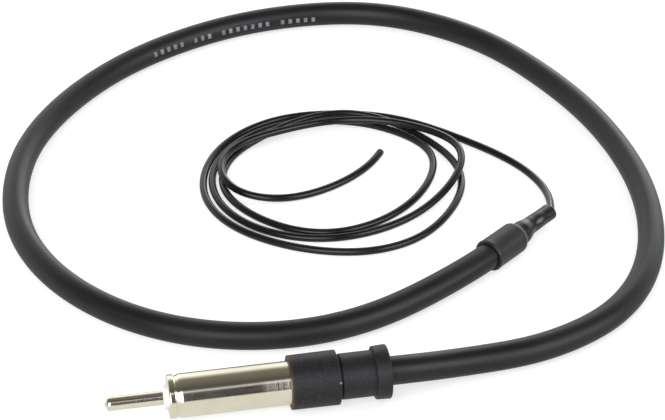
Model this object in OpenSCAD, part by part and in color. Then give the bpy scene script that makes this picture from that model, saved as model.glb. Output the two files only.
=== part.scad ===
// Flexible wire radio antenna: a straight antenna plug, a length of coaxial cable laid in one loop,
// a sleeved splice, and a thin wire whip laid in loose turns inside the loop.
// Millimetres. The origin is the middle of the plug barrel's front face, +X runs back along the
// plug towards the cable, +Z is up, and everything rests on one flat surface below the plug.

/* [Centre contact] */
// Outside diameter of the contact pin
pin_d = 3; // [2.6:0.1:3.2]
// Length of the pin that stands out in front of the barrel
pin_reach = 12.8; // [10:0.1:15]
// Bore of the hollow pin, which the cable's conductor runs through
pin_bore_d = 1; // [0.9:0.05:1.2]
// Diameter of the pin's neck inside the insulator
pin_neck_d = 2.4; // [2:0.1:2.5]
// Diameter of the flange that locks the pin behind the insulator
pin_flange_d = 4.6; // [3.6:0.1:6]
// Thickness of that flange
pin_flange_t = 1; // [0.6:0.1:1.5]
// Length of the pin's tail behind the flange
pin_tail_len = 8; // [5:0.5:8.5]
// Radius on the pin's tip
pin_tip_round = 0.8; // [0.3:0.05:0.8]
// Diameter of the solder bead in the tip
solder_dot_d = 1.3; // [1.1:0.05:1.4]
// Depth of the countersink that the bead fills
solder_dot_depth = 0.5; // [0.3:0.1:1]

/* [Pin insulator] */
// Diameter of the insulator's boss round the pin
boss_d = 5; // [4:0.1:6]
// Length of the boss in front of the barrel
boss_reach = 1; // [0.6:0.1:1.8]
// Position of the insulator's back face behind the barrel's front face
insulator_back = 6; // [4:0.5:8]

/* [Plug barrel] */
// Outside diameter of the barrel
barrel_d = 9.2; // [9:0.05:9.4]
// Inside diameter of the barrel
barrel_bore_d = 7.8; // [7.6:0.05:7.9]
// Length of the barrel in front of the cap
barrel_len = 25.3; // [23:0.1:28]
// Radius on the barrel's front edge
rim_round = 0.3; // [0.15:0.05:0.4]
// Width of the ring in front of the groove
rim_w = 1.3; // [1:0.1:2]
// Width of the groove
groove_w = 0.8; // [0.5:0.1:1.2]
// Depth of the groove
groove_depth = 0.4; // [0.2:0.05:0.5]
// Thickness of the lip that is turned in over the insulator
lip_t = 0.8; // [0.5:0.1:1.2]
// Depth of the step down to the barrel's neck inside the cap
barrel_neck_step = 0.3; // [0.2:0.05:0.4]
// Length of that neck
barrel_neck_len = 6; // [4:0.5:7]

/* [Cap] */
// Outside diameter of the cap
cap_d = 11.6; // [11:0.1:12.4]
// Length of the cap
cap_len = 10.1; // [9:0.1:12]
// Wall of the cap round the boot
cap_wall = 0.65; // [0.5:0.05:0.8]
// Bevel on the cap's outer edges
cap_bevel = 0.3; // [0.1:0.05:0.5]
// How much narrower the cap is at its front
cap_draft = 0.15; // [0:0.05:0.3]

/* [Boot] */
// Outside diameter of the boot between the cap and the collar
boot_d = 9.7; // [9.5:0.1:10]
// Length of the flange that the cap holds
boot_flange_len = 2; // [1.5:0.1:3]
// Length of the boot between the cap and the collar
boot_waist_len = 7.7; // [5:0.1:10]
// Diameter of the collar at the boot's end
collar_d = 11.5; // [11:0.1:11.6]
// Length of the collar
collar_len = 3.2; // [2:0.1:5]
// Bevel on the collar's outer edges
collar_bevel = 0.4; // [0.2:0.05:0.6]
// How much narrower the collar is at its front
collar_draft = 0.3; // [0:0.05:0.4]
// Width of the groove just behind the cap
boot_groove_w = 0.6; // [0.5:0.1:1.2]
// Depth of that groove
boot_groove_depth = 0.5; // [0.3:0.05:0.6]

/* [Coaxial cable] */
// Outside diameter of the cable's jacket
cable_d = 6.1; // [5.9:0.05:6.2]
// Diameter of the plastic core under the braid
core_d = 3.7; // [3.5:0.05:3.8]
// Diameter of the cable's conductor
conductor_d = 0.8; // [0.6:0.05:0.85]
// Thickness of the braid
braid_t = 0.3; // [0.2:0.05:0.35]
// Length of jacketed cable inside the barrel
cable_in_barrel = 7.3; // [6.5:0.1:9]
// Length of braid that is folded back over the jacket
braid_fold_len = 5; // [3:0.5:6]
// Length of the clamp ring on the folded braid
clamp_len = 4.5; // [2.5:0.5:5]

/* [Splice] */
// Length of the outer sleeve
sleeve_len = 11; // [9.5:0.5:14]
// Wall of the outer sleeve
sleeve_wall = 0.5; // [0.4:0.05:0.7]
// Length of cable inside the outer sleeve
cable_in_sleeve = 6; // [4:0.5:7]
// Length of the cable's core beyond the jacket
core_bare_len = 7; // [5.5:0.5:8]
// Length of the trimmed braid at the splice
braid_stub_len = 1.6; // [0.8:0.1:1.8]
// Wall of the inner sleeve on the cable's core
inner_wall = 0.8; // [0.6:0.05:0.9]
// Length of the taper from the core to the splice
taper_len = 2.8; // [2:0.1:4]
// Outside diameter of the inner sleeve's narrow end
narrow_d = 4; // [3.6:0.1:4.4]
// Length of that narrow end
narrow_len = 7.5; // [7:0.1:9]
// Diameter of the solder bead on the splice
bead_d = 2.3; // [1.8:0.05:2.4]
// Length of the bead
bead_len = 3.4; // [2.4:0.1:3.6]

/* [Wire whip] */
// Outside diameter of the wire's insulation
wire_d = 1.8; // [1.6:0.05:1.85]
// Diameter of the wire's bare strands
strand_d = 1; // [0.7:0.05:1.1]
// Length of bare strands in the splice
strand_len = 3.5; // [2.5:0.1:4]

/* [Clearances] */
// Radial clearance between a piece and the sleeve or bore that it sits in
seat_gap = 0.05; // [0.02:0.01:0.08]
// Radial clearance of the boot's bore on the cable
boot_gap = 0.15; // [0.1:0.01:0.2]

/* [Hidden] */

turned_fn = 72;
arc_steps = 5;
bevel = 0.2;

// Heights and stations along the plug
floor_z = -max(cap_d, collar_d) / 2;
solder_bulge = 0.25;
flange_back = insulator_back + pin_flange_t;
pin_back = flange_back + pin_tail_len;
bead_seat = solder_dot_depth - pin_reach;
neck_back = barrel_len + barrel_neck_len;
cable_start = neck_back - cable_in_barrel;
cap_back = barrel_len + cap_len;
flange_end = neck_back + boot_flange_len;
collar_front = cap_back + boot_waist_len;
collar_back = collar_front + collar_len;
barrel_neck_r = barrel_d / 2 - barrel_neck_step;
cap_bore_r = cap_d / 2 - cap_wall;
boot_bore_r = cable_d / 2 + boot_gap;
boot_mouth_r = boot_bore_r + 0.35;
boot_mouth_len = 2;

// Radii that the cable's layers share at both ends
core_r = core_d / 2;
conductor_r = conductor_d / 2;
core_bore_r = conductor_r + seat_gap;
fold_in_r = cable_d / 2 + seat_gap;
fold_out_r = fold_in_r + braid_t;

// Stations along the splice, counted from the mouth of its outer sleeve
splice_place = [77.9, 39.65];
splice_turn = 38;
sleeve_r = cable_d / 2 + seat_gap + sleeve_wall;
splice_z = floor_z + sleeve_r;
inner_r = core_r + seat_gap + inner_wall;
inner_gap = 0.2;
core_end = cable_in_sleeve + core_bare_len;
inner_start = cable_in_sleeve + braid_stub_len + inner_gap;
taper_start = core_end + inner_gap;
taper_end = taper_start + taper_len;
splice_end = taper_end + narrow_len;
bead_mid = taper_end + 1;
bead_start = bead_mid - bead_len / 2;
bead_end = bead_mid + bead_len / 2;
wire_start = bead_mid + strand_len;
wire_mouth = splice_end - 1.5;

// Rings of the two cords
cable_sides = 12;
cable_rings = 46;
wire_sides = 8;
wire_rings = 110;

// The cable's way round its loop: x, y and how far its underside is above the surface
cable_lay = [
    [57, 1.8, 1.2], [67, 3.4, 0.2], [77.5, 4.3, 0], [88, 7.2, 0], [100, 13.4, 0],
    [110, 24.6, 0], [116.5, 38.6, 0], [120.2, 53.8, 0], [121.3, 69.3, 0], [120, 85.6, 0],
    [116.7, 101.4, 0], [110.7, 117.8, 0], [102.6, 134.4, 0], [90.1, 147.9, 0], [75.1, 157, 0],
    [57.4, 159.4, 0], [38.9, 157.5, 0], [21.1, 150.8, 0], [4.2, 140.3, 0], [-10.6, 124.9, 0],
    [-21.4, 106.9, 0], [-26.2, 86.4, 0], [-25.7, 66.2, 0], [-17.7, 46.1, 0], [-3.1, 29.9, 0],
    [15, 21, 0], [34.5, 19, 0], [53, 24, 0]
];

// The wire's way through its loose turns, in the same form: out of the splice, round the outer
// turn, then two inner turns that climb over it, and the free end inside them
wire_lay = [
    [97, 55.9, 2.3], [98.2, 60.2, 1.2], [99, 65.6, 0.3], [98.4, 71.9, 0], [95.5, 79.5, 0],
    [90.2, 87.2, 0], [83.3, 95, 0], [75.6, 102.8, 0], [65.8, 109, 0], [52, 112, 0], [40, 111.3, 0],
    [28.5, 104.8, 0], [20.8, 94, 0], [17.9, 81, 0], [20.8, 69.2, 0], [28.6, 59.8, 0],
    [39.5, 52.8, 0], [53, 49.3, 0], [66, 52.9, 0], [75.5, 63.2, 0], [80.9, 74, 0],
    [80.9, 85, 0], [76, 95.5, 0], [69.5, 104, 0.5], [59, 108.3, 2.3], [46.5, 107.3, 1.9],
    [35.2, 102.7, 0.3], [26.7, 95.9, 0], [22.7, 84.6, 0], [25.3, 74.3, 0], [32.5, 64.8, 0],
    [42.3, 58.8, 0], [54, 59.5, 0], [65.8, 66.6, 0], [73.8, 77.4, 0],
    [77, 88.8, 0], [71.8, 98.2, 0], [61.7, 106.4, 0], [49, 109.2, 0], [37, 107.3, 0], [26.4, 99.4, 0],
    [20.4, 87.5, 0], [21.6, 73.5, 0], [29.5, 62.4, 0], [42, 56.5, 0], [55, 57.2, 0], [68.2, 63.2, 0],
    [79, 73.7, 1.7], [84, 85.8, 2.4], [78.1, 95.6, 2.1], [66.8, 102.6, 2.2], [54, 105.5, 1.8],
    [41, 102.6, 2], [28.8, 98.5, 2.2], [22.4, 88.2, 2.4], [25.4, 77.2, 1.6], [37, 74.1, 0],
    [50.1, 78, 0], [59.6, 85.2, 0], [63.8, 91.3, 0], [67.8, 97.3, 0]
];

// Each cord leaves its sleeve straight, so a few points on the sleeve's own axis lead its route
lead_past_collar = 2;
lead_step = (collar_back + lead_past_collar - cable_start) / 3;
cable_route = concat(
    [for (i = [-1:3]) [cable_start + i * lead_step, 0, 0]],
    [for (p = cable_lay) [p.x, p.y, floor_z + cable_d / 2 + p.z]],
    [for (i = [-2:1]) splice_point(cable_in_sleeve * (i + 1))]
);
wire_lead_step = 3;
wire_route = concat(
    [for (i = [-1:1]) splice_point(wire_start + i * wire_lead_step)],
    [for (p = wire_lay) [p.x, p.y, floor_z + wire_d / 2 + p.z]]
);

function splice_point(s) = [
    splice_place.x + s * cos(splice_turn),
    splice_place.y + s * sin(splice_turn),
    splice_z
];

// Points of a round corner, as [radius, station] pairs
function corner(centre, radius, from, to) = [
    for (i = [0:arc_steps])
        let (a = from + (to - from) * i / arc_steps)
        centre + radius * [cos(a), sin(a)]
];

// A smooth curve that the route's points pull into shape
function route_at(points, u) =
    let (
        k = min(floor(u), len(points) - 4),
        t = u - k
    )
    ((1 - t) ^ 3 * points[k]
        + (3 * t ^ 3 - 6 * t ^ 2 + 4) * points[k + 1]
        + (-3 * t ^ 3 + 3 * t ^ 2 + 3 * t + 1) * points[k + 2]
        + t ^ 3 * points[k + 3]) / 6;

// The curve's direction at the same place
function heading_at(points, u) =
    let (
        k = min(floor(u), len(points) - 4),
        t = u - k
    )
    unit(-(1 - t) ^ 2 * points[k]
        + (3 * t ^ 2 - 4 * t) * points[k + 1]
        + (-3 * t ^ 2 + 2 * t + 1) * points[k + 2]
        + t ^ 2 * points[k + 3]);

function unit(v) = v / norm(v);

// A cord: rings swept along its route, with a flat face at each end
module cord(route, diameter, sides, rings) {
    spans = len(route) - 3;
    skin = [
        for (i = [0:rings - 1])
            let (
                u = spans * i / (rings - 1),
                middle = route_at(route, u),
                along = heading_at(route, u),
                across = unit(cross([0, 0, 1], along)),
                over = cross(along, across)
            )
            for (j = [0:sides - 1])
                let (a = 360 * j / sides)
                middle + diameter / 2 * (cos(a) * across + sin(a) * over)
    ];
    walls = [
        for (i = [0:rings - 2], j = [0:sides - 1])
            let (
                here = i * sides,
                next = (j + 1) % sides
            )
            [here + j, here + sides + j, here + sides + next, here + next]
    ];
    first_face = [for (j = [0:sides - 1]) j];
    last_face = [for (j = [sides - 1:-1:0]) (rings - 1) * sides + j];
    polyhedron(skin, concat(walls, [first_face, last_face]));
}

// A turned piece on the plug's axis, from an outline of [radius, station] pairs
module turned(outline) {
    rotate([0, 90, 0])
        rotate_extrude($fn = turned_fn)
            polygon(outline);
}

module at_splice() {
    translate([splice_place.x, splice_place.y, splice_z])
        rotate([0, 0, splice_turn])
            children();
}

// Hollow contact pin: countersunk tip, neck inside the insulator, locking flange and tail
module plug_pin() {
    bore_r = pin_bore_d / 2;
    pin_r = pin_d / 2;
    tip_land = 0.05;
    tip_round = min(pin_tip_round, pin_r - solder_dot_d / 2 - tip_land);
    color([0.82, 0.8, 0.74])
        turned(concat(
            [[bore_r, bead_seat], [solder_dot_d / 2, bead_seat], [solder_dot_d / 2, -pin_reach]],
            corner([pin_r - tip_round, tip_round - pin_reach], tip_round, -90, 0),
            [
                [pin_r, -boss_reach], [pin_neck_d / 2, -boss_reach],
                [pin_neck_d / 2, insulator_back], [pin_flange_d / 2, insulator_back],
                [pin_flange_d / 2, flange_back], [pin_r, flange_back],
                [pin_r, pin_back - bevel], [pin_r - bevel, pin_back], [bore_r, pin_back]
            ]
        ));
}

// Domed bead of solder that closes the pin's tip
module pin_solder() {
    dot_r = solder_dot_d / 2;
    color([0.86, 0.86, 0.84])
        turned([
            [0, bead_seat], [dot_r, bead_seat], [dot_r, -pin_reach],
            [dot_r * 0.8, -pin_reach - solder_bulge * 0.6],
            [dot_r * 0.45, -pin_reach - solder_bulge * 0.9],
            [0, -pin_reach - solder_bulge]
        ]);
}

// Plastic bush that holds the pin in the barrel's mouth, with a boss through the lip
module pin_insulator() {
    hole_r = pin_neck_d / 2 + seat_gap;
    body_r = barrel_bore_d / 2 - seat_gap;
    color([0.9, 0.88, 0.8])
        turned([
            [hole_r, -boss_reach], [boss_d / 2 - bevel, -boss_reach],
            [boss_d / 2, bevel - boss_reach], [boss_d / 2, lip_t], [body_r, lip_t],
            [body_r, insulator_back], [hole_r, insulator_back]
        ]);
}

// Turned barrel: lip, front ring, groove, contact length, and the neck that the cap grips
module plug_barrel() {
    outer_r = barrel_d / 2;
    bore_r = barrel_bore_d / 2;
    mouth_r = boss_d / 2 + seat_gap;
    ring_end = rim_w + groove_w;
    color([0.78, 0.76, 0.68])
        turned(concat(
            [[mouth_r, 0]],
            corner([outer_r - rim_round, rim_round], rim_round, -90, 0),
            [[outer_r, rim_w], [outer_r - groove_depth, rim_w + bevel]],
            corner([outer_r - groove_depth, ring_end + groove_depth], groove_depth, -90, 0),
            [
                [outer_r, barrel_len], [barrel_neck_r, barrel_len],
                [barrel_neck_r, neck_back], [bore_r, neck_back],
                [bore_r, lip_t], [mouth_r, lip_t]
            ]
        ));
}

// Plastic cap: gripped on the barrel's neck, and open at the back round the boot
module plug_cap() {
    grip_r = barrel_neck_r + seat_gap;
    outer_r = cap_d / 2;
    front_r = outer_r - cap_draft / 2;
    color([0.12, 0.12, 0.12])
        turned([
            [grip_r, barrel_len], [front_r - cap_bevel, barrel_len],
            [front_r, barrel_len + cap_bevel], [outer_r, cap_back - cap_bevel],
            [outer_r - cap_bevel, cap_back], [cap_bore_r, cap_back],
            [cap_bore_r, neck_back], [grip_r, neck_back]
        ]);
}

// Rubber boot: a flange under the cap, a grooved waist, and a collar that the cable leaves
module cable_boot() {
    flange_r = cap_bore_r - seat_gap;
    waist_r = boot_d / 2;
    groove_r = waist_r - boot_groove_depth;
    groove_end = cap_back + boot_groove_w;
    collar_r = collar_d / 2;
    collar_front_r = collar_r - collar_draft / 2;
    color([0.1, 0.1, 0.1])
        turned([
            [boot_bore_r, neck_back], [flange_r, neck_back], [flange_r, flange_end],
            [waist_r, flange_end], [waist_r, cap_back], [groove_r, cap_back + bevel],
            [groove_r, groove_end - bevel], [waist_r, groove_end],
            [waist_r, collar_front], [collar_front_r - collar_bevel, collar_front],
            [collar_front_r, collar_front + collar_bevel],
            [collar_r, collar_back - collar_bevel],
            [collar_r - collar_bevel, collar_back], [boot_mouth_r, collar_back],
            [boot_bore_r, collar_back - boot_mouth_len]
        ]);
}

// Metal ring that holds the folded braid against the barrel
module braid_clamp() {
    clamp_start = cable_start + bevel;
    color([0.7, 0.68, 0.6])
        turned([
            [fold_out_r + seat_gap, clamp_start], [barrel_bore_d / 2 - seat_gap, clamp_start],
            [barrel_bore_d / 2 - seat_gap, clamp_start + clamp_len],
            [fold_out_r + seat_gap, clamp_start + clamp_len]
        ]);
}

// Braid at the plug: it spreads over the jacket's cut face and folds back along the jacket
module plug_braid() {
    inner = core_r + seat_gap;
    fold_back = cable_start + braid_fold_len;
    color([0.72, 0.45, 0.3])
        turned([
            [inner, cable_start - braid_t], [fold_out_r - bevel, cable_start - braid_t],
            [fold_out_r, cable_start - braid_t + bevel], [fold_out_r, fold_back],
            [fold_in_r, fold_back], [fold_in_r, cable_start], [inner, cable_start]
        ]);
}

// A stretch of the cable's plastic core, with the hole that its conductor runs in
module core_piece(from, to) {
    color([0.92, 0.92, 0.9])
        turned([
            [core_bore_r, from], [core_r, from], [core_r, to], [core_bore_r, to]
        ]);
}

// A stretch of bare wire
module bare_wire(diameter, from, to) {
    color([0.75, 0.45, 0.25])
        translate([from, 0, 0])
            rotate([0, 90, 0])
                cylinder(h = to - from, d = diameter, $fn = 32);
}

// Stripped core between the pin's tail and the cable's jacket
module plug_core() {
    core_piece(pin_back, cable_start);
}

// The cable's conductor, from the jacket through the pin to the solder in its tip
module coax_conductor() {
    bare_wire(conductor_d, bead_seat, cable_start);
}

// The cable in its jacket, from inside the barrel, round its loop, to inside the splice
module coax_cable() {
    color([0.1, 0.1, 0.1])
        cord(cable_route, cable_d, cable_sides, cable_rings);
}

// Outer sleeve of the splice: a slightly open mouth on the cable, and a shrunk shoulder
module joint_sleeve() {
    grip_r = cable_d / 2 + seat_gap;
    throat_r = inner_r + seat_gap;
    lip_r = throat_r + 0.15;
    shoulder_round = sleeve_r - lip_r;
    shoulder_start = sleeve_len - shoulder_round - 0.7;
    mouth_len = 1;
    mouth_r = sleeve_r - 0.2;
    color([0.13, 0.13, 0.13])
        at_splice()
            turned(concat(
                [[mouth_r, 0], [sleeve_r - 0.05, 0], [sleeve_r, bevel]],
                corner([lip_r, shoulder_start], shoulder_round, 0, 90),
                [
                    [lip_r, sleeve_len], [throat_r, sleeve_len],
                    [throat_r, shoulder_start - 0.2], [grip_r, shoulder_start - 1.2],
                    [grip_r, mouth_len]
                ]
            ));
}

// Inner sleeve of the splice: on the core, down a taper, along the solder bead to the wire
module splice_sleeve() {
    wide_bore_r = core_r + seat_gap;
    bead_bore_r = bead_d / 2 + seat_gap;
    wire_bore_r = wire_d / 2 + 2 * seat_gap;
    color([0.11, 0.11, 0.11])
        at_splice()
            turned([
                [wide_bore_r, inner_start], [inner_r, inner_start], [inner_r, taper_start],
                [narrow_d / 2, taper_end], [narrow_d / 2, splice_end - bevel],
                [narrow_d / 2 - bevel, splice_end], [wire_d / 2 + 0.4, splice_end],
                [wire_bore_r, wire_mouth], [wire_bore_r, wire_start - bevel],
                [bead_bore_r, wire_start - 2 * bevel], [bead_bore_r, core_end + 1.4],
                [wide_bore_r, core_end]
            ]);
}

// Braid at the splice, trimmed short and left unconnected
module joint_braid() {
    inner = core_r + seat_gap;
    color([0.72, 0.45, 0.3])
        at_splice()
            turned([
                [inner, cable_in_sleeve], [inner + braid_t, cable_in_sleeve],
                [inner + braid_t, cable_in_sleeve + braid_stub_len],
                [inner, cable_in_sleeve + braid_stub_len]
            ]);
}

// Core of the cable beyond its jacket at the splice
module joint_core() {
    at_splice()
        core_piece(cable_in_sleeve, core_end);
}

// The cable's conductor at the splice, which meets the wire's strands in the bead
module joint_conductor() {
    at_splice()
        bare_wire(conductor_d, cable_in_sleeve, bead_mid);
}

// Bead of solder round the two conductors
module splice_solder() {
    bead_r = bead_d / 2;
    color([0.7, 0.7, 0.68])
        at_splice()
            turned([
                [conductor_r, bead_start], [bead_r * 0.7, bead_start + 0.2],
                [bead_r, bead_mid - bead_len / 5], [bead_r, bead_mid + bead_len / 5],
                [bead_r * 0.75, bead_end - 0.2], [strand_d / 2, bead_end],
                [strand_d / 2, bead_mid], [conductor_r, bead_mid]
            ]);
}

// Bare strands of the wire in the splice
module wire_strands() {
    at_splice()
        bare_wire(strand_d, bead_mid, wire_start);
}

// The wire whip in its insulation, from inside the splice through its turns to its cut end
module whip_wire() {
    color([0.06, 0.07, 0.07])
        cord(wire_route, wire_d, wire_sides, wire_rings);
}

plug_pin();
pin_solder();
pin_insulator();
plug_barrel();
plug_cap();
cable_boot();
braid_clamp();
plug_braid();
plug_core();
coax_conductor();
coax_cable();
joint_sleeve();
splice_sleeve();
joint_braid();
joint_core();
joint_conductor();
splice_solder();
wire_strands();
whip_wire();
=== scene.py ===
import math

import bmesh
import bpy
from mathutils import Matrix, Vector


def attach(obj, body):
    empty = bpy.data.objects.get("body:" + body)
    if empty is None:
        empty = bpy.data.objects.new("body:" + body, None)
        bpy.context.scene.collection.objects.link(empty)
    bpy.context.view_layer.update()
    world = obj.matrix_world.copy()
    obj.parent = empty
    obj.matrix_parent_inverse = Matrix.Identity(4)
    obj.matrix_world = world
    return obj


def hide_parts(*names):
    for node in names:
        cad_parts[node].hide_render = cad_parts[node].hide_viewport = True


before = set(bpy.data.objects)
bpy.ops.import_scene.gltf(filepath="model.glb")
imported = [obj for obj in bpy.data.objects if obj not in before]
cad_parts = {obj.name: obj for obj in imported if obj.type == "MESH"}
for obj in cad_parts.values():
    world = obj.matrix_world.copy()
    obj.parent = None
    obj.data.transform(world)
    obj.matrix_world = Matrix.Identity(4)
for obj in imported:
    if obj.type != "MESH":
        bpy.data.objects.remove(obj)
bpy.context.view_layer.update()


# The camera stands where the photographer stood: in front of the plug, a little to its tip's side
# and looking down on the table at 34 degrees, with a long lens.
IMAGE_WIDTH_PX = 665
LENS_PX = 2236
SENSOR_WIDTH = 36

camera_data = bpy.data.cameras.new("camera")
camera_data.sensor_width = SENSOR_WIDTH
camera_data.lens = LENS_PX / IMAGE_WIDTH_PX * SENSOR_WIDTH
camera_data.clip_start = 0.01
camera = bpy.data.objects.new("camera", camera_data)
camera.location = (-0.03391, -0.36025, 0.28945)
camera.rotation_euler = Vector((0.15464, 0.81449, -0.55919)).to_track_quat("-Z", "Y").to_euler()
bpy.context.scene.collection.objects.link(camera)
bpy.context.scene.camera = camera


# Coaxial cable: a copper conductor, core and braid under an extruded black vinyl jacket, laid in
# one loop on the table. Its route repeats the points of the part's source. Pale ticks stand where
# the real jacket has its maker's ink print.
MM = 0.001
FLOOR_Z = -5.8
CABLE_D = 6.1
CABLE_START = 24.0
COLLAR_BACK = 46.3
LEAD_PAST_COLLAR = 2.0
SPLICE_PLACE = (77.9, 39.65)
SPLICE_TURN = math.radians(38)
SPLICE_Z = -2.2
CABLE_IN_SLEEVE = 6.0
SPAN_STEPS = 24
CABLE_LAY = [
    (57, 1.8, 1.2), (67, 3.4, 0.2), (77.5, 4.3, 0), (88, 7.2, 0), (100, 13.4, 0),
    (110, 24.6, 0), (116.5, 38.6, 0), (120.2, 53.8, 0), (121.3, 69.3, 0), (120, 85.6, 0),
    (116.7, 101.4, 0), (110.7, 117.8, 0), (102.6, 134.4, 0), (90.1, 147.9, 0), (75.1, 157, 0),
    (57.4, 159.4, 0), (38.9, 157.5, 0), (21.1, 150.8, 0), (4.2, 140.3, 0), (-10.6, 124.9, 0),
    (-21.4, 106.9, 0), (-26.2, 86.4, 0), (-25.7, 66.2, 0), (-17.7, 46.1, 0), (-3.1, 29.9, 0),
    (15, 21, 0), (34.5, 19, 0), (53, 24, 0),
]


def splice_point(s, side=0.0, up=0.0):
    """A point of the splice in millimetres: s along its axis, side to its left, up above it."""
    c, n = math.cos(SPLICE_TURN), math.sin(SPLICE_TURN)
    return Vector((SPLICE_PLACE[0] + s * c - side * n, SPLICE_PLACE[1] + s * n + side * c,
                   SPLICE_Z + up))


def laid(points, diameter):
    """Centres of a cord that lies on the table, from x, y and the height of its underside."""
    return [Vector((x, y, FLOOR_Z + diameter / 2 + z)) for x, y, z in points]


def along_route(points, step):
    """Evenly spaced centres and directions on the smooth curve that the points pull into shape."""
    fine = []
    for k in range(len(points) - 3):
        p0, p1, p2, p3 = points[k:k + 4]
        for i in range(SPAN_STEPS):
            t = i / SPAN_STEPS
            fine.append(((1 - t) ** 3 * p0 + (3 * t ** 3 - 6 * t ** 2 + 4) * p1
                         + (-3 * t ** 3 + 3 * t ** 2 + 3 * t + 1) * p2 + t ** 3 * p3) / 6)
    fine.append((points[-3] + 4 * points[-2] + points[-1]) / 6)
    arc = [0.0]
    for a, b in zip(fine, fine[1:]):
        arc.append(arc[-1] + (b - a).length)
    count = math.ceil(arc[-1] / step)
    centres, j = [], 0
    for i in range(count + 1):
        s = arc[-1] * i / count
        while j < len(arc) - 2 and arc[j + 1] < s:
            j += 1
        centres.append(fine[j].lerp(fine[j + 1], (s - arc[j]) / (arc[j + 1] - arc[j])))
    last = len(centres) - 1
    headings = [(centres[min(i + 1, last)] - centres[max(i - 1, 0)]).normalized()
                for i in range(last + 1)]
    return centres, headings, arc[-1]


def cord_mesh(name, points, diameter, step, sides, swell):
    """A tube along a route, whose ends are rings round a middle of the second material.

    Its UV map holds metres along the cord and the share of a turn round it.
    """
    centres, headings, length = along_route(points, step)
    bm = bmesh.new()
    uv = bm.loops.layers.uv.new("UVMap")
    rings = []
    stations = [length * i / (len(centres) - 1) for i in range(len(centres))]
    for station, centre, along in zip(stations, centres, headings):
        across = Vector((0, 0, 1)).cross(along).normalized()
        over = along.cross(across)
        radius = diameter / 2 * (1 + swell(station))
        ring = [bm.verts.new((centre + radius * (math.cos(a) * across + math.sin(a) * over)) * MM)
                for a in (2 * math.pi * j / sides for j in range(sides))]
        rings.append(ring)
    for i in range(len(rings) - 1):
        for j in range(sides):
            n = (j + 1) % sides
            face = bm.faces.new((rings[i][j], rings[i][n], rings[i + 1][n], rings[i + 1][j]))
            turn = (j / sides, (j + 1) / sides)
            corners = ((stations[i], turn[0]), (stations[i], turn[1]),
                       (stations[i + 1], turn[1]), (stations[i + 1], turn[0]))
            for loop, (s, v) in zip(face.loops, corners):
                loop[uv].uv = (s * MM, v)
    for i in (0, len(rings) - 1):
        centre = centres[i] * MM
        outer = rings[i]
        for share in (0.94, 0.55):
            inner = [bm.verts.new(centre + (v.co - centre) * share) for v in rings[i]]
            for j in range(sides):
                n = (j + 1) % sides
                bm.faces.new((outer[j], outer[n], inner[n], inner[j]))
            outer = inner
        middle = bm.verts.new(centre)
        for j in range(sides):
            bm.faces.new((outer[j], outer[(j + 1) % sides], middle)).material_index = 1
    bmesh.ops.recalc_face_normals(bm, faces=bm.faces)
    mesh = bpy.data.meshes.new(name)
    bm.to_mesh(mesh)
    bm.free()
    mesh.shade_smooth()
    piece = bpy.data.objects.new(name, mesh)
    bpy.context.scene.collection.objects.link(piece)
    return piece, [centre * MM for centre in centres], length * MM


def new_material(name, color, roughness, metallic=0.0):
    """A material of one colour, and its Principled shader."""
    material = bpy.data.materials.new(name)
    material.use_nodes = True
    shader = material.node_tree.nodes["Principled BSDF"]
    shader.inputs["Base Color"].default_value = (*color, 1)
    shader.inputs["Roughness"].default_value = roughness
    shader.inputs["Metallic"].default_value = metallic
    return material, shader


def node(tree, kind, inputs=None, **settings):
    """Adds a node, with its settings, and with values or links on its inputs."""
    made = tree.nodes.new(kind)
    for key, value in settings.items():
        setattr(made, key, value)
    for key, value in (inputs or {}).items():
        if isinstance(value, bpy.types.NodeSocket):
            tree.links.new(value, made.inputs[key])
        else:
            made.inputs[key].default_value = value
    return made


def sum_of(tree, operation, a, b=None, c=None):
    """The result of one Math node."""
    values = {i: v for i, v in enumerate((a, b, c)) if v is not None}
    return node(tree, "ShaderNodeMath", values, operation=operation).outputs[0]


def mixed(tree, share, a, b):
    """A colour between two colours."""
    made = node(tree, "ShaderNodeMix", {0: share, 6: a, 7: b}, data_type="RGBA")
    return made.outputs[2]


def ramp(tree, value, stops):
    """A colour ramp through (position, colour) stops."""
    made = node(tree, "ShaderNodeValToRGB", {0: value})
    elements = made.color_ramp.elements
    while len(elements) < len(stops):
        elements.new(0.5)
    for element, (place, color) in zip(elements, stops):
        element.position = place
        element.color = (*color, 1)
    return made.outputs[0]


def group_tree(name, inputs, outputs):
    """An empty shader node group with named sockets, and its input and output nodes."""
    tree = bpy.data.node_groups.new(name, "ShaderNodeTree")
    for in_out, sockets in (("INPUT", inputs), ("OUTPUT", outputs)):
        for label, kind in sockets:
            tree.interface.new_socket(label, in_out=in_out, socket_type="NodeSocket" + kind)
    return tree, tree.nodes.new("NodeGroupInput"), tree.nodes.new("NodeGroupOutput")


# Extruded plastic, for both cords: the colour clouds slowly along the cord, handling dulls patches
# of it, and very fine die lines run lengthwise.
GRAIN_PER_METRE, GRAIN_ROUND, DIE_LINES_PER_METRE = 900.0, 14.0, 9.0
DIE_LINE_HEIGHT, GRAIN_HEIGHT, BLOOM_ROUGHNESS = 0.65, 0.35, 0.12
extruded, given, result = group_tree(
    "extruded_plastic",
    [("Along", "Float"), ("Turn", "Float"), ("Base", "Color"), ("Bloom", "Color"),
     ("Cloud Size", "Float"), ("Bloom Amount", "Float"), ("Line Count", "Float")],
    [("Color", "Color"), ("Roughness Shift", "Float"), ("Height", "Float")])
round_angle = sum_of(extruded, "MULTIPLY", given.outputs["Turn"], math.tau)
cloud_place = node(extruded, "ShaderNodeCombineXYZ", {
    0: sum_of(extruded, "DIVIDE", given.outputs["Along"], given.outputs["Cloud Size"]),
    1: sum_of(extruded, "SINE", round_angle),
    2: sum_of(extruded, "COSINE", round_angle)})
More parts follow.
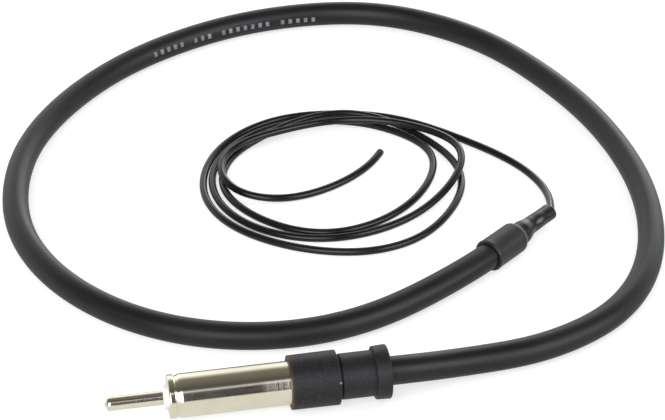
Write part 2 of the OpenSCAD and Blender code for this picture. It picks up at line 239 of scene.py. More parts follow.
clouds = node(extruded, "ShaderNodeTexNoise", {
    "Vector": cloud_place.outputs[0], "Scale": 0.9, "Detail": 5.0, "Roughness": 0.62})
bloom = ramp(extruded, clouds.outputs["Fac"], [(0.42, (0, 0, 0)), (0.74, (1, 1, 1))])
bloom_share = sum_of(extruded, "MULTIPLY", bloom, given.outputs["Bloom Amount"])
grain_place = node(extruded, "ShaderNodeCombineXYZ", {
    0: sum_of(extruded, "MULTIPLY", given.outputs["Along"], GRAIN_PER_METRE),
    1: sum_of(extruded, "MULTIPLY", given.outputs["Turn"], GRAIN_ROUND)})
grain = node(extruded, "ShaderNodeTexNoise", {
    "Vector": grain_place.outputs[0], "Scale": 1.0, "Detail": 3.0})
die_place = node(extruded, "ShaderNodeCombineXYZ", {
    0: sum_of(extruded, "MULTIPLY", given.outputs["Along"], DIE_LINES_PER_METRE),
    1: sum_of(extruded, "MULTIPLY", given.outputs["Turn"], given.outputs["Line Count"])})
die_lines = node(extruded, "ShaderNodeTexNoise", {
    "Vector": die_place.outputs[0], "Scale": 1.0, "Detail": 2.0})
height = sum_of(extruded, "ADD",
                sum_of(extruded, "MULTIPLY", die_lines.outputs["Fac"], DIE_LINE_HEIGHT),
                sum_of(extruded, "MULTIPLY", grain.outputs["Fac"], GRAIN_HEIGHT))
color = mixed(extruded, bloom_share, given.outputs["Base"], given.outputs["Bloom"])
extruded.links.new(color, result.inputs["Color"])
extruded.links.new(sum_of(extruded, "MULTIPLY", bloom_share, BLOOM_ROUGHNESS),
                   result.inputs["Roughness Shift"])
extruded.links.new(height, result.inputs["Height"])


def cord_material(name, base, bloom_color, roughness, values, bump):
    """Extruded plastic on a cord's own UV map. Gives the material and where its colour is mixed."""
    material, shader = new_material(name, base, roughness)
    tree = material.node_tree
    uv = node(tree, "ShaderNodeUVMap", uv_map="UVMap")
    split = node(tree, "ShaderNodeSeparateXYZ", {0: uv.outputs[0]})
    plastic = node(tree, "ShaderNodeGroup", {
        "Along": split.outputs[0], "Turn": split.outputs[1], "Base": (*base, 1),
        "Bloom": (*bloom_color, 1), **values}, node_tree=extruded)
    rough = sum_of(tree, "ADD", plastic.outputs["Roughness Shift"], roughness)
    tree.links.new(plastic.outputs["Color"], shader.inputs["Base Color"])
    tree.links.new(rough, shader.inputs["Roughness"])
    height = node(tree, "ShaderNodeBump", {
        "Height": plastic.outputs["Height"], "Strength": bump, "Distance": 0.00005})
    tree.links.new(height.outputs[0], shader.inputs["Normal"])
    return material, shader, split, plastic


jacket, jacket_shader, jacket_place, jacket_plastic = cord_material(
    "jacket_vinyl", (0.0064, 0.0064, 0.007), (0.022, 0.022, 0.021), 0.42,
    {"Cloud Size": 0.03, "Bloom Amount": 0.55, "Line Count": 60.0}, 0.35)
jacket_shader.inputs["Specular IOR Level"].default_value = 0.36

# The pale ticks: four groups of plain strokes of worn ink, on the side that faces the camera
INK_START, INK_END, INK_CELLS = 0.2585, 0.3085, 23
INK_TURN, INK_TWIST, INK_HALF_WIDTH = 0.004, 1.0, 0.037
INK_COLOR, INK_STRENGTH = (0.36, 0.36, 0.41, 1), 0.9
GROUP_EDGES = ((0, 1), (5, 0), (6, 1), (13, 0), (14, 1), (17, 0), (18, 1))
tree = jacket.node_tree
along, turn = jacket_place.outputs[0], jacket_place.outputs[1]
ink_at = sum_of(tree, "SUBTRACT", along, INK_START)
row = sum_of(tree, "SUBTRACT", turn, sum_of(tree, "MULTIPLY", ink_at, INK_TWIST))
row = sum_of(tree, "FRACT", sum_of(tree, "ADD", row, 0.5 - INK_TURN))
in_row = ramp(tree, sum_of(tree, "ABSOLUTE", sum_of(tree, "SUBTRACT", row, 0.5)), [
    (INK_HALF_WIDTH - 0.008, (1, 1, 1)), (INK_HALF_WIDTH, (0, 0, 0))])
in_stretch = sum_of(tree, "MULTIPLY", sum_of(tree, "GREATER_THAN", along, INK_START),
                    sum_of(tree, "LESS_THAN", along, INK_END))
cell = sum_of(tree, "MULTIPLY", ink_at, INK_CELLS / (INK_END - INK_START))
stroke = ramp(tree, sum_of(tree, "FRACT", cell), [
    (0.0, (0, 0, 0)), (0.1, (1, 1, 1)), (0.45, (1, 1, 1)), (0.55, (0, 0, 0))])
in_group = ramp(tree, sum_of(tree, "DIVIDE", cell, INK_CELLS), [
    (first / INK_CELLS, (on, on, on)) for first, on in GROUP_EDGES])
in_group.node.color_ramp.interpolation = "CONSTANT"
worn_place = node(tree, "ShaderNodeCombineXYZ", {
    0: sum_of(tree, "MULTIPLY", along, 320.0), 1: sum_of(tree, "MULTIPLY", turn, 5.0)})
worn = node(tree, "ShaderNodeTexNoise", {
    "Vector": worn_place.outputs[0], "Scale": 1.0, "Detail": 2.0})
ink = sum_of(tree, "MULTIPLY", sum_of(tree, "MULTIPLY", in_row, in_stretch),
             sum_of(tree, "MULTIPLY", stroke, in_group))
ink = sum_of(tree, "MULTIPLY", ink, ramp(tree, worn.outputs["Fac"], [
    (0.3, (0.4, 0.4, 0.4)), (0.65, (1, 1, 1))]))
inked = mixed(tree, sum_of(tree, "MULTIPLY", ink, INK_STRENGTH), jacket_plastic.outputs["Color"],
              INK_COLOR)
tree.links.new(inked, jacket_shader.inputs["Base Color"])

lead_step = (COLLAR_BACK + LEAD_PAST_COLLAR - CABLE_START) / 3
cable_route = ([Vector((CABLE_START + i * lead_step, 0, 0)) for i in range(-1, 4)]
               + laid(CABLE_LAY, CABLE_D)
               + [splice_point(CABLE_IN_SLEEVE * (i + 1)) for i in range(-2, 2)])
cable, cable_path, cable_length = cord_mesh(
    "coaxial_cable", cable_route, CABLE_D, 1.3, 40,
    lambda s: 0.004 * math.sin(s / 9.0) * math.sin(s / 23.0 + 1.0))
for _ in ("outside", "hidden ends"):
    cable.data.materials.append(jacket)
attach(cable, "root")
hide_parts("coax_cable")


# Wire whip: fine copper strands in glossy black insulation, soldered to the cable's conductor in
# the splice and left free at its cut end. It lies in loose turns, some of them over the others.
WIRE_D = 1.8
WIRE_START = 20.5
WIRE_LEAD_STEP = 3.0
WIRE_LAY = [
    (97, 55.9, 2.3), (98.2, 60.2, 1.2), (99, 65.6, 0.3), (98.4, 71.9, 0), (95.5, 79.5, 0),
    (90.2, 87.2, 0), (83.3, 95, 0), (75.6, 102.8, 0), (65.8, 109, 0), (52, 112, 0), (40, 111.3, 0),
    (28.5, 104.8, 0), (20.8, 94, 0), (17.9, 81, 0), (20.8, 69.2, 0), (28.6, 59.8, 0),
    (39.5, 52.8, 0), (53, 49.3, 0), (66, 52.9, 0), (75.5, 63.2, 0), (80.9, 74, 0),
    (80.9, 85, 0), (76, 95.5, 0), (69.5, 104, 0.5), (59, 108.3, 2.3), (46.5, 107.3, 1.9),
    (35.2, 102.7, 0.3), (26.7, 95.9, 0), (22.7, 84.6, 0), (25.3, 74.3, 0), (32.5, 64.8, 0),
    (42.3, 58.8, 0), (54, 59.5, 0), (65.8, 66.6, 0), (73.8, 77.4, 0),
    (77, 88.8, 0), (71.8, 98.2, 0), (61.7, 106.4, 0), (49, 109.2, 0), (37, 107.3, 0),
    (26.4, 99.4, 0), (20.4, 87.5, 0), (21.6, 73.5, 0), (29.5, 62.4, 0), (42, 56.5, 0),
    (55, 57.2, 0), (68.2, 63.2, 0),
    (79, 73.7, 1.7), (84, 85.8, 2.4), (78.1, 95.6, 2.1), (66.8, 102.6, 2.2), (54, 105.5, 1.8),
    (41, 102.6, 2), (28.8, 98.5, 2.2), (22.4, 88.2, 2.4), (25.4, 77.2, 1.6), (37, 74.1, 0),
    (50.1, 78, 0), (59.6, 85.2, 0), (63.8, 91.3, 0), (67.8, 97.3, 0),
]

insulation, insulation_shader, _, _ = cord_material(
    "wire_insulation", (0.0045, 0.005, 0.005), (0.018, 0.02, 0.019), 0.22,
    {"Cloud Size": 0.02, "Bloom Amount": 0.45, "Line Count": 18.0}, 0.22)
insulation_shader.inputs["Specular IOR Level"].default_value = 0.4
strand_ends, strand_shader = new_material("strand_ends", (0.62, 0.30, 0.16), 0.35, 1.0)
tree = strand_ends.node_tree
strand = node(tree, "ShaderNodeTexVoronoi", {
    "Vector": node(tree, "ShaderNodeTexCoord").outputs["Object"], "Scale": 4500.0})
tree.links.new(ramp(tree, strand.outputs["Distance"], [
    (0.3, (0.66, 0.33, 0.18)), (0.5, (0.14, 0.06, 0.035))]), strand_shader.inputs["Base Color"])

wire_route = ([splice_point(WIRE_START + i * WIRE_LEAD_STEP) for i in range(-1, 2)]
              + laid(WIRE_LAY, WIRE_D))
wire, wire_path, wire_length = cord_mesh(
    "wire_whip", wire_route, WIRE_D, 0.8, 20,
    lambda s: 0.008 * math.sin(s / 5.0) * math.sin(s / 17.0))
wire.data.materials.append(insulation)
wire.data.materials.append(strand_ends)
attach(wire, "root")
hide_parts("whip_wire")


# Contact pin: a tube turned from brass and nickel plated, with a neck and a flange that lock it in
# its bush. The cable's conductor runs through it to the tip.
def rounded(outline, steps=6):
    """An outline of (radius, station) points, where a third number rounds that corner."""
    made = []
    count = len(outline)
    for i, point in enumerate(outline):
        if len(point) == 2:
            made.append(Vector(point))
            continue
        corner = Vector(point[:2])
        before, after = Vector(outline[i - 1][:2]), Vector(outline[(i + 1) % count][:2])
        a, b = (before - corner).normalized(), (after - corner).normalized()
        # A side between two round corners is shared by both
        shares = [0.48 if len(p) == 3 else 0.95 for p in (outline[i - 1], outline[(i + 1) % count])]
        reach = min(point[2], shares[0] * (before - corner).length,
                    shares[1] * (after - corner).length)
        for j in range(steps + 1):
            t = j / steps
            made.append(corner + a * reach * (1 - t) ** 2 + b * reach * t ** 2)
    return made


def with_support(outline, closed, margin=0.1):
    """Adds points near both ends of each long stretch, so that smooth shading stays flat on it."""
    made = []
    count = len(outline)
    for i in range(count):
        a = outline[i]
        made.append(a)
        if i == count - 1 and not closed:
            break
        b = outline[(i + 1) % count]
        if (b - a).length > 4 * margin:
            way = (b - a).normalized() * margin
            made += [a + way, b - way]
    return made


def turned_mesh(name, outline, sides=128, place=None, shape=None):
    """A closed outline of (radius, station) points turned round an axis, in millimetres."""
    points = with_support(rounded(outline), True)
    bm = bmesh.new()
    rings = []
    for p in points:
        ring = []
        for j in range(sides):
            a = 2 * math.pi * j / sides
            v = Vector((p.y, p.x * math.cos(a), p.x * math.sin(a)))
            if shape:
                v = shape(v)
            ring.append(bm.verts.new((place(v) if place else v) * MM))
        rings.append(ring)
    for i in range(len(rings)):
        for j in range(sides):
            n = (j + 1) % sides
            m = (i + 1) % len(rings)
            bm.faces.new((rings[i][j], rings[i][n], rings[m][n], rings[m][j]))
    bmesh.ops.remove_doubles(bm, verts=bm.verts, dist=1e-7)
    for face in [f for f in bm.faces if f.calc_area() < 1e-16]:
        bm.faces.remove(face)
    bmesh.ops.recalc_face_normals(bm, faces=bm.faces)
    mesh = bpy.data.meshes.new(name)
    bm.to_mesh(mesh)
    bm.free()
    mesh.shade_smooth()
    piece = bpy.data.objects.new(name, mesh)
    bpy.context.scene.collection.objects.link(piece)
    return piece


# Turned and plated metal: fine tool rings round the axis, which are rubbed coarser behind the rub's
# start, hairline scratches from being plugged in, and a warm film where fingers have been.
RING_HEIGHT, RUBBED_HEIGHT, RUB_HALF_WAY = 0.3, 9.5, 0.001
SCRATCHES_ALONG, SCRATCHES_ACROSS, SCRATCH_DEPTH = 90.0, 5200.0, 0.4
plating, given, result = group_tree(
    "turned_plating",
    [("Base", "Color"), ("Film", "Color"), ("Film Amount", "Float"), ("Ring Pitch", "Float"),
     ("Rub Start", "Float")],
    [("Color", "Color"), ("Roughness Shift", "Float"), ("Height", "Float")])
spot = node(plating, "ShaderNodeTexCoord").outputs["Object"]
spot_parts = node(plating, "ShaderNodeSeparateXYZ", {0: spot})
film_noise = node(plating, "ShaderNodeTexNoise", {
    "Vector": spot, "Scale": 160.0, "Detail": 4.0, "Roughness": 0.6})
film = sum_of(plating, "MULTIPLY", ramp(plating, film_noise.outputs["Fac"], [
    (0.4, (0, 0, 0)), (0.75, (1, 1, 1))]), given.outputs["Film Amount"])
ring_place = node(plating, "ShaderNodeCombineXYZ", {
    0: sum_of(plating, "DIVIDE", spot_parts.outputs[0], given.outputs["Ring Pitch"])})
tool_rings = node(plating, "ShaderNodeTexNoise", {
    "Vector": ring_place.outputs[0], "Scale": 1.0, "Detail": 3.0, "Roughness": 0.7})
rub = node(plating, "ShaderNodeMapRange", {
    0: sum_of(plating, "SUBTRACT", spot_parts.outputs[0], given.outputs["Rub Start"]),
    1: -RUB_HALF_WAY, 2: RUB_HALF_WAY, 3: RING_HEIGHT, 4: RUBBED_HEIGHT}).outputs[0]
scratch_place = node(plating, "ShaderNodeCombineXYZ", {
    0: sum_of(plating, "MULTIPLY", spot_parts.outputs[0], SCRATCHES_ALONG),
    1: sum_of(plating, "MULTIPLY", spot_parts.outputs[1], SCRATCHES_ACROSS),
    2: sum_of(plating, "MULTIPLY", spot_parts.outputs[2], SCRATCHES_ACROSS)})
scratches = node(plating, "ShaderNodeTexNoise", {
    "Vector": scratch_place.outputs[0], "Scale": 1.0, "Detail": 2.0})
scratch_mask = ramp(plating, scratches.outputs["Fac"], [(0.6, (0, 0, 0)), (0.72, (1, 1, 1))])
plating.links.new(mixed(plating, film, given.outputs["Base"], given.outputs["Film"]),
                  result.inputs["Color"])
plating.links.new(sum_of(plating, "ADD", sum_of(plating, "MULTIPLY", film, 0.1),
                         sum_of(plating, "MULTIPLY", scratch_mask, 0.06)),
                  result.inputs["Roughness Shift"])
plating.links.new(sum_of(plating, "ADD",
                         sum_of(plating, "MULTIPLY", tool_rings.outputs["Fac"], rub),
                         sum_of(plating, "MULTIPLY", scratch_mask, -SCRATCH_DEPTH)),
                  result.inputs["Height"])


def plated(name, base, film_color, roughness, film_amount, ring_pitch, bump, rub_start=1.0):
    """Bright metal with the plating's marks. A rub that starts a metre away marks nothing."""
    material, shader = new_material(name, base, roughness, 1.0)
    tree = material.node_tree
    marks = node(tree, "ShaderNodeGroup", {
        "Base": (*base, 1), "Film": (*film_color, 1), "Film Amount": film_amount,
        "Ring Pitch": ring_pitch, "Rub Start": rub_start}, node_tree=plating)
    tree.links.new(marks.outputs["Color"], shader.inputs["Base Color"])
    rough = sum_of(tree, "ADD", marks.outputs["Roughness Shift"], roughness)
    tree.links.new(rough, shader.inputs["Roughness"])
    height = node(tree, "ShaderNodeBump", {
        "Height": marks.outputs["Height"], "Strength": bump, "Distance": 0.00002})
    tree.links.new(height.outputs[0], shader.inputs["Normal"])
    return material


nickel = plated("bright_nickel", (0.86, 0.83, 0.67), (0.72, 0.64, 0.46), 0.11, 0.35, 0.00014, 0.12,
                rub_start=0.0195)

pin = turned_mesh("contact_pin", [
    (0.5, -12.3), (0.65, -12.3), (0.65, -12.8), (1.5, -12.8, 0.8), (1.5, -1.0, 0.05),
    (1.2, -1.0, 0.05), (1.2, 6.0), (2.3, 6.0, 0.1), (2.3, 7.0, 0.1), (1.5, 7.0),
    (1.5, 15.0, 0.2), (0.5, 15.0)], 96)
pin.data.materials.append(nickel)
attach(pin, "root")
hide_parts("plug_pin")


# Solder in the pin's tip: a drop that closed over the conductor's end and froze as a small dome.
solder = plated("solder", (0.88, 0.88, 0.86), (0.6, 0.6, 0.57), 0.2, 0.6, 0.0004, 0.2)
tip_solder = turned_mesh("tip_solder", [
    (0.0, -12.3), (0.65, -12.3), (0.65, -12.79, 0.03), (0.56, -12.92), (0.4, -13.01),
    (0.2, -13.05), (0.0, -13.06)], 64)
tip_solder.data.materials.append(solder)
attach(tip_solder, "root")
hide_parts("pin_solder")


# Bush: a moulded white plastic ring round the pin, held behind the barrel's lip, with a boss that
# shows in the barrel's mouth.
GRAIN_IN_PATCH, PATCH_ROUGHNESS, SPECKS_BETWEEN = 12, 0.14, 0.3


def moulded(name, base, speck, roughness, grain_scale, speck_amount, bump, specular=0.5):
    """Moulded plastic or rubber: a fine cast grain and paler specks of dust and rubbed grain."""
    material, shader = new_material(name, base, roughness)
    shader.inputs["Specular IOR Level"].default_value = specular
    tree = material.node_tree
    spot = node(tree, "ShaderNodeTexCoord").outputs["Object"]
    grain = node(tree, "ShaderNodeTexNoise", {
        "Vector": spot, "Scale": grain_scale, "Detail": 6.0, "Roughness": 0.7})
    patches = node(tree, "ShaderNodeTexNoise", {
        "Vector": spot, "Scale": grain_scale / GRAIN_IN_PATCH, "Detail": 3.0, "Roughness": 0.6})
    specks = ramp(tree, grain.outputs["Fac"], [(0.5, (0, 0, 0)), (0.72, (1, 1, 1))])
    share = sum_of(tree, "MULTIPLY", sum_of(tree, "MULTIPLY", specks, speck_amount),
                   sum_of(tree, "ADD", patches.outputs["Fac"], SPECKS_BETWEEN))
    tree.links.new(mixed(tree, share, (*base, 1), (*speck, 1)), shader.inputs["Base Color"])
    rough = sum_of(tree, "ADD", sum_of(tree, "MULTIPLY", patches.outputs["Fac"], PATCH_ROUGHNESS),
                   roughness - PATCH_ROUGHNESS / 2)
    tree.links.new(rough, shader.inputs["Roughness"])
    height = node(tree, "ShaderNodeBump", {
        "Height": grain.outputs["Fac"], "Strength": bump, "Distance": 0.00006})
    tree.links.new(height.outputs[0], shader.inputs["Normal"])
    return material


bush_plastic = moulded("bush_plastic", (0.96, 0.94, 0.93), (0.98, 0.97, 0.96), 0.35, 900, 0.5, 0.1)
bush = turned_mesh("pin_bush", [
    (1.25, -1.0), (2.5, -1.0, 0.25), (2.5, 0.8), (3.85, 0.8, 0.05), (3.85, 6.0, 0.05),
    (1.25, 6.0)], 96)
bush.data.materials.append(bush_plastic)
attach(bush, "root")
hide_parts("pin_insulator")


# Barrel: the plug's outer contact, turned from brass tube and nickel plated. Its lip is turned in
# over the bush, and a groove sets off the ring in front.
barrel = turned_mesh("contact_barrel", [
    (2.55, 0.0, 0.12), (4.6, 0.0, 0.28), (4.6, 1.3, 0.14), (4.3, 1.42, 0.08), (4.26, 1.6, 0.1),
    (4.6, 2.5, 0.35), (4.6, 25.3, 0.05), (4.3, 25.3), (4.3, 31.3, 0.05),
    (3.9, 31.3, 0.05), (3.9, 0.8), (2.55, 0.8)], 192)
barrel.data.materials.append(nickel)
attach(barrel, "root")
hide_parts("plug_barrel")


# Cap: black moulded plastic, pressed on the barrel's neck, and open at the back round the boot. It
# widens a little to the back, where a small stub is left of the mould's gate.
def tinted(material, share, color):
    """Mixes one more colour in before the material's shader."""
    tree = material.node_tree
    socket = tree.nodes["Principled BSDF"].inputs["Base Color"]
    tree.links.new(mixed(tree, share, socket.links[0].from_socket, (*color, 1)), socket)


cap_plastic = moulded("cap_plastic", (0.009, 0.0085, 0.0096), (0.055, 0.052, 0.057), 0.5, 2200,
                      0.7, 0.7, specular=0.35)

# A painted reflection: the front edge is tinted a reddish brown
EDGE_START, EDGE_END, EDGE_REFLECTION = 0.02545, 0.026, 0.85
tree = cap_plastic.node_tree
spot = node(tree, "ShaderNodeTexCoord").outputs["Object"]
edge = node(tree, "ShaderNodeMapRange", {
    0: node(tree, "ShaderNodeSeparateXYZ", {0: spot}).outputs[0],
    1: EDGE_START, 2: EDGE_END, 3: EDGE_REFLECTION, 4: 0.0}).outputs[0]
tinted(cap_plastic, edge, (0.055, 0.024, 0.017))

cap = turned_mesh("plug_cap_shell", [
    (4.35, 25.3, 0.05), (5.72, 25.3, 0.14), (5.8, 35.4, 0.14), (5.15, 35.4, 0.08), (5.15, 31.3),
    (4.35, 31.3)], 160)
cap.data.materials.append(cap_plastic)

# The stub is a small rounded nib that stands half out of the cap
STUB_PLACE, STUB_RADIUS = Vector((35.28, -5.2, 2.5)), 0.24
# The stub's pale grey is a painted gleam on it
gate_stub_painted_gleam = moulded("gate_stub_painted_gleam", (0.2, 0.2, 0.19), (0.4, 0.4, 0.38), 0.45, 4000, 0.6, 0.6)
cap.data.materials.append(gate_stub_painted_gleam)
bm = bmesh.new()
bm.from_mesh(cap.data)
for v in bmesh.ops.create_icosphere(bm, subdivisions=3, radius=STUB_RADIUS * MM)["verts"]:
    v.co = Vector((v.co.x * 1.1, v.co.y, v.co.z * 1.25)) + STUB_PLACE * MM
    for face in v.link_faces:
        face.material_index = 1
        face.smooth = True
bm.to_mesh(cap.data)
bm.free()
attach(cap, "root")
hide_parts("plug_cap")


# Boot: moulded rubber that grips the cable. Its flange sits under the cap, and its collar is what
# the fingers pull on.
boot_rubber = moulded("boot_rubber", (0.0098, 0.0094, 0.0103), (0.05, 0.048, 0.052), 0.48, 1900,
                      0.5, 0.6, specular=0.38)
boot = turned_mesh("cable_boot_rubber", [
    (3.2, 31.3), (5.1, 31.3), (5.1, 33.3, 0.1), (4.85, 33.3), (4.85, 35.3, 0.06),
    (4.52, 35.5, 0.08), (4.52, 35.85, 0.1), (4.85, 36.1, 0.15), (4.85, 43.1, 0.12),
    (5.6, 43.1, 0.3), (5.75, 46.3, 0.4), (3.6, 46.3, 0.25), (3.2, 44.3)], 160)
boot.data.materials.append(boot_rubber)
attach(boot, "root")
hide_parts("cable_boot")


# Outer sleeve of the splice: heat-shrink tube over the end of the jacket. It shrank to a round
# shoulder at the jacket's edge, and its mouth stands a little off the cable.
def shrink(name, base, speck, roughness):
    """Shrunk polyolefin tube, which is satin with faint creases."""
    return moulded(name, base, speck, roughness, 700, 0.35, 0.35)


def from_splice(tree, place):
    """How far a surface point is from a place of the splice: as a vector, and along the splice."""
    away = node(tree, "ShaderNodeVectorMath", {
        0: node(tree, "ShaderNodeTexCoord").outputs["Object"], 1: place * MM},
        operation="SUBTRACT").outputs[0]
    axis = Vector((math.cos(SPLICE_TURN), math.sin(SPLICE_TURN), 0))
    along = node(tree, "ShaderNodeVectorMath", {0: away, 1: axis}, operation="DOT_PRODUCT")
    return away, along.outputs[1]


# A painted highlight: a pale ring round the shoulder, broken up by noise. The ramp's whole width is
# 12.5 mm from the mouth.
SHOULDER_PER_METRE = 80.0
outer_shrink = shrink("outer_shrink", (0.016, 0.0163, 0.0152), (0.05, 0.05, 0.047), 0.46)
tree = outer_shrink.node_tree
_, from_mouth = from_splice(tree, splice_point(0))
shoulder_highlight = ramp(tree, sum_of(tree, "MULTIPLY", from_mouth, SHOULDER_PER_METRE), [
    (0.76, (0, 0, 0)), (0.81, (1, 1, 1)), (0.88, (1, 1, 1)), (0.9, (0, 0, 0))])
highlight_breakup = node(tree, "ShaderNodeTexNoise", {
    "Vector": node(tree, "ShaderNodeTexCoord").outputs["Object"], "Scale": 500.0, "Detail": 3.0})
tinted(outer_shrink, sum_of(tree, "MULTIPLY", shoulder_highlight, sum_of(
    tree, "MULTIPLY", highlight_breakup.outputs["Fac"], 0.9)), (0.24, 0.24, 0.23))

# Its underside lies flat on the table
SLEEVE_UNDERSIDE = -3.6
outer_sleeve = turned_mesh("outer_sleeve", [
    (3.15, 0.0, 0.03), (3.64, 0.0, 0.1), (3.8, 0.3, 0.15), (3.73, 0.9), (3.69, 1.6), (3.69, 9.3),
    (3.64, 9.75), (3.5, 10.1), (3.25, 10.3), (3.02, 10.4), (2.98, 10.55), (3.0, 10.8),
    (2.9, 11.0, 0.05), (2.75, 11.0, 0.05), (2.75, 10.0), (3.1, 9.0), (3.1, 0.6)], 128,
    place=lambda v: splice_point(v.x, v.y, v.z),
    shape=lambda v: Vector((v.x, v.y, max(v.z, SLEEVE_UNDERSIDE))))
outer_sleeve.data.materials.append(outer_shrink)
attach(outer_sleeve, "root")
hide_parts("joint_sleeve")


# Inner sleeve of the splice: a second shrink tube, on the cable's core, down over the bead of
# solder and on to the wire. It shrank unevenly on the bead.
INNER_SLEEVE_END = 23.5
inner_shrink = shrink("inner_shrink", (0.008, 0.0083, 0.008), (0.035, 0.035, 0.034), 0.34)

# A painted highlight: one pale oval spot on the sleeve over the solder's point
HIGHLIGHT_PLACE = splice_point(17.6, -1.36, 1.41)
HIGHLIGHT_PER_METRE, HIGHLIGHT_STRETCH = 1600.0, 0.86
tree = inner_shrink.node_tree
from_highlight, along = from_splice(tree, HIGHLIGHT_PLACE)
away = node(tree, "ShaderNodeVectorMath", {0: from_highlight}, operation="LENGTH").outputs[1]
away_squared, along_squared = (
    sum_of(tree, "POWER", sum_of(tree, "MULTIPLY", distance, HIGHLIGHT_PER_METRE), 2.0)
    for distance in (away, along))
highlight_oval = sum_of(tree, "ADD", away_squared, sum_of(tree, "MULTIPLY", along_squared, -HIGHLIGHT_STRETCH))
tinted(inner_shrink, ramp(tree, highlight_oval, [(0.05, (0.85, 0.85, 0.85)), (1.0, (0, 0, 0))]),
       (0.17, 0.17, 0.175))


def grown(value, start, width):
    """0 up to the start, and 1 from a width past it."""
    return min(max((value - start) / width, 0.0), 1.0)


def pinched(v):
    """Uneven where it shrank on the bead, bent a little aside, and flattened at its open end."""
    flat = grown(v.x, 20.5, 3.2) ** 2
    lump = grown(v.x, 13.5, 2.0) * 0.02 * math.sin(v.x * 1.1) * math.sin(
        2 * math.atan2(v.z, v.y) + v.x * 0.5)
    outside = grown(math.hypot(v.y, v.z), 1.35, 0.3)
    aside = grown(v.x, 12.0, 3.5) * outside
    return Vector((v.x, v.y * (1 + lump + 0.06 * flat) + 0.23 * aside,
                   v.z * (1 + lump - 0.1 * flat) + 0.15 * aside))


inner_sleeve = turned_mesh("inner_sleeve", [
    (1.9, 7.8), (2.7, 7.8), (2.7, 12.7, 0.3), (2.5, 13.6, 0.4), (2.1, 15.0, 0.5),
    (2.03, 16.6, 0.5), (2.06, 18.2, 0.5), (1.93, 20.4, 0.5), (1.97, 23.3, 0.1),
    (1.87, INNER_SLEEVE_END, 0.05), (1.28, INNER_SLEEVE_END, 0.05), (1.0, 22.0), (1.0, 20.3),
    (1.2, 20.1), (1.2, 14.4), (1.9, 13.0)],
    96, place=lambda v: splice_point(v.x, v.y, v.z), shape=pinched)
inner_sleeve.data.materials.append(inner_shrink)
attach(inner_sleeve, "root")
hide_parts("splice_sleeve")


# Pieces inside the plug and the splice, which keep the shapes of the part's source: bare copper
# conductor, strands and braid, the clamp on the braid, the cable's white core, and solder.
copper = plated("bare_copper", (0.74, 0.42, 0.27), (0.42, 0.22, 0.13), 0.3, 0.6, 0.0003, 0.3)
clamp_metal = plated("clamp_metal", (0.62, 0.6, 0.54), (0.45, 0.42, 0.36), 0.35, 0.5, 0.0002, 0.3)
core_plastic = moulded("core_plastic", (0.84, 0.84, 0.82), (0.92, 0.92, 0.9), 0.45, 1200, 0.4, 0.1)
for name, material, slot in (
        ("coax_conductor", copper, "copper"), ("joint_conductor", copper, "copper"),
        ("wire_strands", copper, "copper"), ("plug_braid", copper, "copper"),
        ("joint_braid", copper, "copper"), ("braid_clamp", clamp_metal, "clamp_metal"),
        ("plug_core", core_plastic, "core_plastic"), ("joint_core", core_plastic, "core_plastic"),
        ("splice_solder", solder, "solder")):
    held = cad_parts[name]
    held.data.materials.clear()
    held.data.materials.append(material)


# Studio: a white table under soft lamps. Bright metal and black plastic mirror the room, so the
# world holds a strip light, a bright back wall, softboxes and the dark behind the camera.
TABLE_REACH = 3.0
TABLE_GAP = 0.00002
TABLE_WHITE, TABLE_GREY = (0.86, 0.86, 0.86), (0.25, 0.248, 0.24)
GREY_TO_CAMERA, GLOW_TO_CAMERA, GLOW_IN_MIRRORS = 0.59, 0.66, 0.53
table_z = FLOOR_Z * MM - TABLE_GAP
table_mesh = bpy.data.meshes.new("table")
table_mesh.from_pydata([
    (x * TABLE_REACH, y * TABLE_REACH, table_z) for x, y in ((-1, -1), (1, -1), (1, 1), (-1, 1))],
    [], [(0, 1, 2, 3)])
table = bpy.data.objects.new("table", table_mesh)
bpy.context.scene.collection.objects.link(table)
table_top, table_shader = new_material("table_top", TABLE_WHITE, 0.9)
table_shader.inputs["Emission Color"].default_value = (1, 1, 1, 1)
table_shader.inputs["Specular IOR Level"].default_value = 0.0
table_mesh.materials.append(table_top)

# Camera rays see the table partly as it is lit, with the object's shadow, and partly as a glow.
# Mirrors see a greyer one, as a photographer's table is past the light.
tree = table_top.node_tree
rays = node(tree, "ShaderNodeLightPath")
seen = sum_of(tree, "ADD",
              sum_of(tree, "MULTIPLY", rays.outputs["Is Camera Ray"], GREY_TO_CAMERA),
              rays.outputs["Is Glossy Ray"])
tree.links.new(mixed(tree, seen, (*TABLE_WHITE, 1), (*TABLE_GREY, 1)),
               table_shader.inputs["Base Color"])
glow = sum_of(tree, "ADD",
              sum_of(tree, "MULTIPLY", rays.outputs["Is Camera Ray"], GLOW_TO_CAMERA),
              sum_of(tree, "MULTIPLY", rays.outputs["Is Glossy Ray"], GLOW_IN_MIRRORS))
tree.links.new(glow, table_shader.inputs["Emission Strength"])

# The plug mirrors only a thin upright slice of the room, which is banded by its rise: 0 level
# behind the camera, 0.5 overhead and 1 level in front of it. Softboxes stand beside the slice, and
# light the black cords and mouldings.
SLICE_X = 0.155
LEFT_DROP = 0.05
BACK_SHARE_LOST_ON_LEFT = 0.82
SOFTBOX_COLOR, BACK_COLOR = (3.9, 3.94, 4.2), (2.9, 2.86, 2.66)
BLACK, WHITE = (0, 0, 0), (1, 1, 1)
world = bpy.data.worlds.new("studio")
bpy.context.scene.world = world
world.use_nodes = True
tree = world.node_tree
backdrop = tree.nodes["Background"]
toward = node(tree, "ShaderNodeSeparateXYZ", {
    0: node(tree, "ShaderNodeTexCoord").outputs["Generated"]})
angle = sum_of(tree, "ARCTAN2", sum_of(tree, "ABSOLUTE", toward.outputs[2]),
               sum_of(tree, "MULTIPLY", toward.outputs[1], -1.0))
rise = sum_of(tree, "DIVIDE", angle, math.pi)
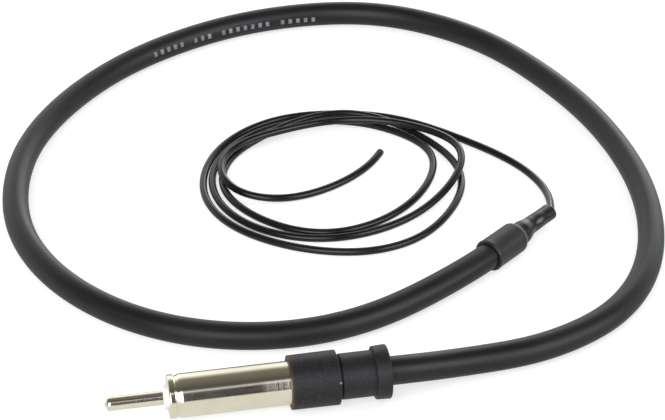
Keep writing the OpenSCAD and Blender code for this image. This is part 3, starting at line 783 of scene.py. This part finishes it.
bands = ramp(tree, rise, [
    (0.0, (0.8, 0.8, 0.8)), (0.013, (0.8, 0.8, 0.8)), (0.027, (0.03, 0.026, 0.028)),
    (0.22, (0.026, 0.022, 0.024)), (0.255, (0.12, 0.115, 0.12)), (0.278, (0.64, 0.62, 0.72)),
    (0.298, (0.64, 0.62, 0.72)), (0.328, (0.12, 0.12, 0.12)), (0.38, (0.08, 0.082, 0.078)),
    (0.455, (0.125, 0.124, 0.112)), (0.525, (0.155, 0.15, 0.126)), (0.6, (0.19, 0.18, 0.146)),
    (0.66, (0.205, 0.195, 0.16)), (0.7, (0.28, 0.27, 0.23)), (0.745, (0.56, 0.55, 0.5)),
    (0.79, (0.9, 0.9, 0.88)), (0.835, (1.05, 1.06, 1.12)), (1.0, (1.0, 1.0, 1.0))])
from_middle = sum_of(tree, "ABSOLUTE", sum_of(tree, "SUBTRACT", toward.outputs[0], SLICE_X))
on_left = sum_of(tree, "LESS_THAN", toward.outputs[0], SLICE_X)
aside = ramp(tree, from_middle, [(0.13, BLACK), (0.26, WHITE), (0.7, WHITE), (0.85, BLACK)])
raised = ramp(tree, sum_of(tree, "ADD", rise, sum_of(tree, "MULTIPLY", on_left, LEFT_DROP)), [
    (0.04, BLACK), (0.12, WHITE), (0.3, WHITE), (0.39, BLACK)])
back_width = ramp(tree, from_middle, [
    (0.04, BLACK), (0.14, WHITE), (0.5, (0.7, 0.7, 0.7)), (0.8, BLACK)])
back_share = sum_of(tree, "SUBTRACT", 1.0, sum_of(
    tree, "MULTIPLY", on_left, BACK_SHARE_LOST_ON_LEFT))
back = sum_of(tree, "MULTIPLY", ramp(tree, rise, [(0.76, BLACK), (0.86, WHITE)]),
              sum_of(tree, "MULTIPLY", back_share, back_width))
softboxes = bands
for share, light_color in ((sum_of(tree, "MULTIPLY", aside, raised), SOFTBOX_COLOR),
                           (back, BACK_COLOR)):
    box = node(tree, "ShaderNodeVectorMath", {0: share, 1: light_color}, operation="MULTIPLY")
    softboxes = node(tree, "ShaderNodeVectorMath", {0: softboxes, 1: box.outputs[0]},
                     operation="ADD").outputs[0]
rays = node(tree, "ShaderNodeLightPath")
soft = mixed(tree, rays.outputs["Is Glossy Ray"], (0.45, 0.45, 0.45, 1), softboxes)
tree.links.new(mixed(tree, rays.outputs["Is Camera Ray"], soft, (1, 1, 1, 1)),
               backdrop.inputs["Color"])
backdrop.inputs["Strength"].default_value = 1.0

LIGHT_AIM = Vector((0.05, 0.08, 0))
for name, place_at, size, power in (
        ("key_light", (-0.3, -0.7, 0.8), 0.7, 6.0),
        ("fill_light", (0.7, 0.15, 0.9), 0.8, 3.5),
        ("side_light", (-0.75, -0.15, 0.25), 0.5, 3.5)):
    light = bpy.data.lights.new(name, "AREA")
    light.shape = "SQUARE"
    light.size = size
    light.energy = power
    lamp = bpy.data.objects.new(name, light)
    lamp.location = place_at
    lamp.rotation_euler = (LIGHT_AIM - Vector(place_at)).to_track_quat("-Z", "Y").to_euler()
    lamp.visible_glossy = False
    bpy.context.scene.collection.objects.link(lamp)

bpy.context.scene.view_settings.view_transform = "Standard"
